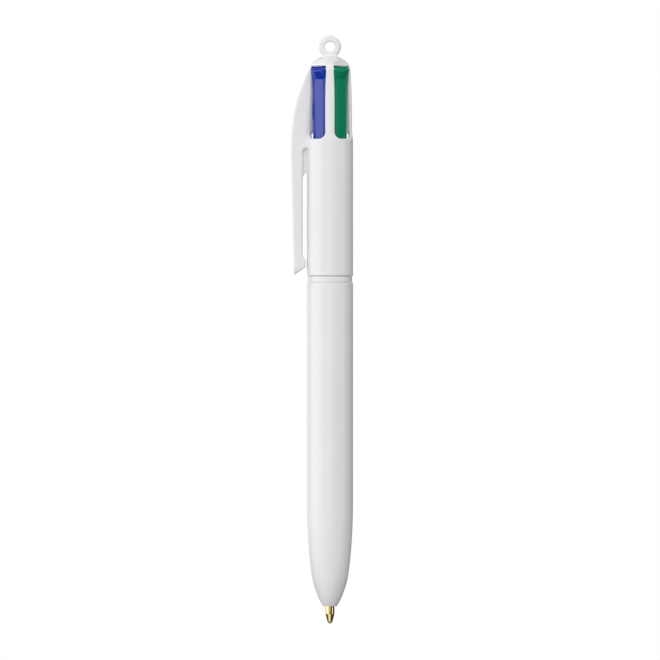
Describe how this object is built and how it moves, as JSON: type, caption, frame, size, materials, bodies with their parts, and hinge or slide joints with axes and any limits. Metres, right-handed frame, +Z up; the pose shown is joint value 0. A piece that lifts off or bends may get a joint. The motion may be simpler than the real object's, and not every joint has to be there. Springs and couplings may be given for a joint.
{
  "type": "multicolor click pen",
  "caption": "Retractable multicolor ball pen: a slider for each color in slots round a white barrel, a long side clip, a lanyard eye and a screw-off lower barrel with a brass point out.",
  "frame": {"origin": "centre of the lanyard eye, from which the pen hangs point down", "axes": "+Z up along the pen towards the eye, +Y along the eye's hole, -X towards the clip"},
  "size_m": [0.0157, 0.0116, 0.1492],
  "materials": {
    "white_plastic": "satin moulded",
    "inner_plastic": "plain moulded",
    "spring_steel": "drawn wire",
    "refill_tube_plastic": "translucent tube",
    "point_brass": "turned, bright",
    "ball_steel": "polished",
    "blue_plastic": "gloss moulded",
    "blue_ink": "ink",
    "green_plastic": "gloss moulded",
    "green_ink": "ink",
    "red_plastic": "gloss moulded",
    "red_ink": "ink",
    "black_plastic": "gloss moulded",
    "black_ink": "ink"
  },
  "bodies": {
    "upper_body": {"upper_barrel": "white_plastic", "latch_core": "inner_plastic", "spring_retainer": "inner_plastic", "blue_spring": "spring_steel", "green_spring": "spring_steel", "red_spring": "spring_steel", "black_spring": "spring_steel"},
    "lower_barrel": {"lower_barrel": "white_plastic"},
    "blue_pusher": {"blue_pusher": "blue_plastic", "blue_refill_tube": "refill_tube_plastic", "blue_ink": "blue_ink"},
    "blue_point": {"blue_refill_point": "point_brass"},
    "blue_ball": {"blue_ball": "ball_steel"},
    "green_pusher": {"green_pusher": "green_plastic", "green_refill_tube": "refill_tube_plastic", "green_ink": "green_ink"},
    "green_point": {"green_refill_point": "point_brass"},
    "green_ball": {"green_ball": "ball_steel"},
    "red_pusher": {"red_pusher": "red_plastic", "red_refill_tube": "refill_tube_plastic", "red_ink": "red_ink"},
    "red_point": {"red_refill_point": "point_brass"},
    "red_ball": {"red_ball": "ball_steel"},
    "black_pusher": {"black_pusher": "black_plastic", "black_refill_tube": "refill_tube_plastic", "black_ink": "black_ink"},
    "black_point": {"black_refill_point": "point_brass"},
    "black_ball": {"black_ball": "ball_steel"}
  },
  "joints": [
    {"name": "lower_barrel_unscrew", "type": "slide", "parent": "upper_body", "child": "lower_barrel", "axis": [0, 0, -1], "range_m": [0, 0.1]},
    {"name": "blue_press", "type": "slide", "parent": "upper_body", "child": "blue_pusher", "axis": [0, 0, -1], "range_m": [0, 0.0092], "stiffness_N_per_m": 120, "springref_m": -0.006, "deforming": ["blue_spring"]},
    {"name": "blue_refill_bend", "type": "slide", "parent": "blue_pusher", "child": "blue_point", "axis": [0.7071, 0.7071, 0], "range_m": [0, 0.0026], "deforming": ["blue_refill_tube", "blue_ink", "blue_refill_point", "blue_ball"]},
    {"name": "blue_ball_roll", "type": "hinge", "parent": "blue_point", "child": "blue_ball", "pos_m": [-0.00184, -0.00184, -0.1367], "axis": [1, 0, 0], "continuous": true},
    {"name": "green_press", "type": "slide", "parent": "upper_body", "child": "green_pusher", "axis": [0, 0, -1], "range_m": [0, 0.0092], "stiffness_N_per_m": 120, "springref_m": -0.006, "deforming": ["green_spring"]},
    {"name": "green_refill_bend", "type": "slide", "parent": "green_pusher", "child": "green_point", "axis": [-0.7071, 0.7071, 0], "range_m": [0, 0.0026], "deforming": ["green_refill_tube", "green_ink", "green_refill_point", "green_ball"]},
    {"name": "green_ball_roll", "type": "hinge", "parent": "green_point", "child": "green_ball", "pos_m": [0.00184, -0.00184, -0.1367], "axis": [1, 0, 0], "continuous": true},
    {"name": "red_press", "type": "slide", "parent": "upper_body", "child": "red_pusher", "axis": [0, 0, -1], "range_m": [0, 0.0092], "stiffness_N_per_m": 120, "springref_m": -0.006, "deforming": ["red_spring"]},
    {"name": "red_refill_bend", "type": "slide", "parent": "red_pusher", "child": "red_point", "axis": [-0.7071, -0.7071, 0], "range_m": [0, 0.0026], "deforming": ["red_refill_tube", "red_ink", "red_refill_point", "red_ball"]},
    {"name": "red_ball_roll", "type": "hinge", "parent": "red_point", "child": "red_ball", "pos_m": [0.00184, 0.00184, -0.1367], "axis": [1, 0, 0], "continuous": true},
    {"name": "black_press", "type": "slide", "parent": "upper_body", "child": "black_pusher", "axis": [0, 0, 1], "range_m": [0, 0.0092], "deforming": ["black_spring"]},
    {"name": "black_refill_bend", "type": "slide", "parent": "black_pusher", "child": "black_point", "axis": [-0.7071, 0.7071, 0], "range_m": [0, 0.0026], "deforming": ["black_refill_tube", "black_ink", "black_refill_point", "black_ball"]},
    {"name": "black_ball_roll", "type": "hinge", "parent": "black_point", "child": "black_ball", "pos_m": [0, 0, -0.1459], "axis": [1, 0, 0], "continuous": true}
  ],
  "couplings": [
    {"joint": "blue_refill_bend", "follows": "blue_press", "ratio": 0.2826},
    {"joint": "green_refill_bend", "follows": "green_press", "ratio": 0.2826},
    {"joint": "red_refill_bend", "follows": "red_press", "ratio": 0.2826},
    {"joint": "black_refill_bend", "follows": "black_press", "ratio": 0.2826}
  ]
}
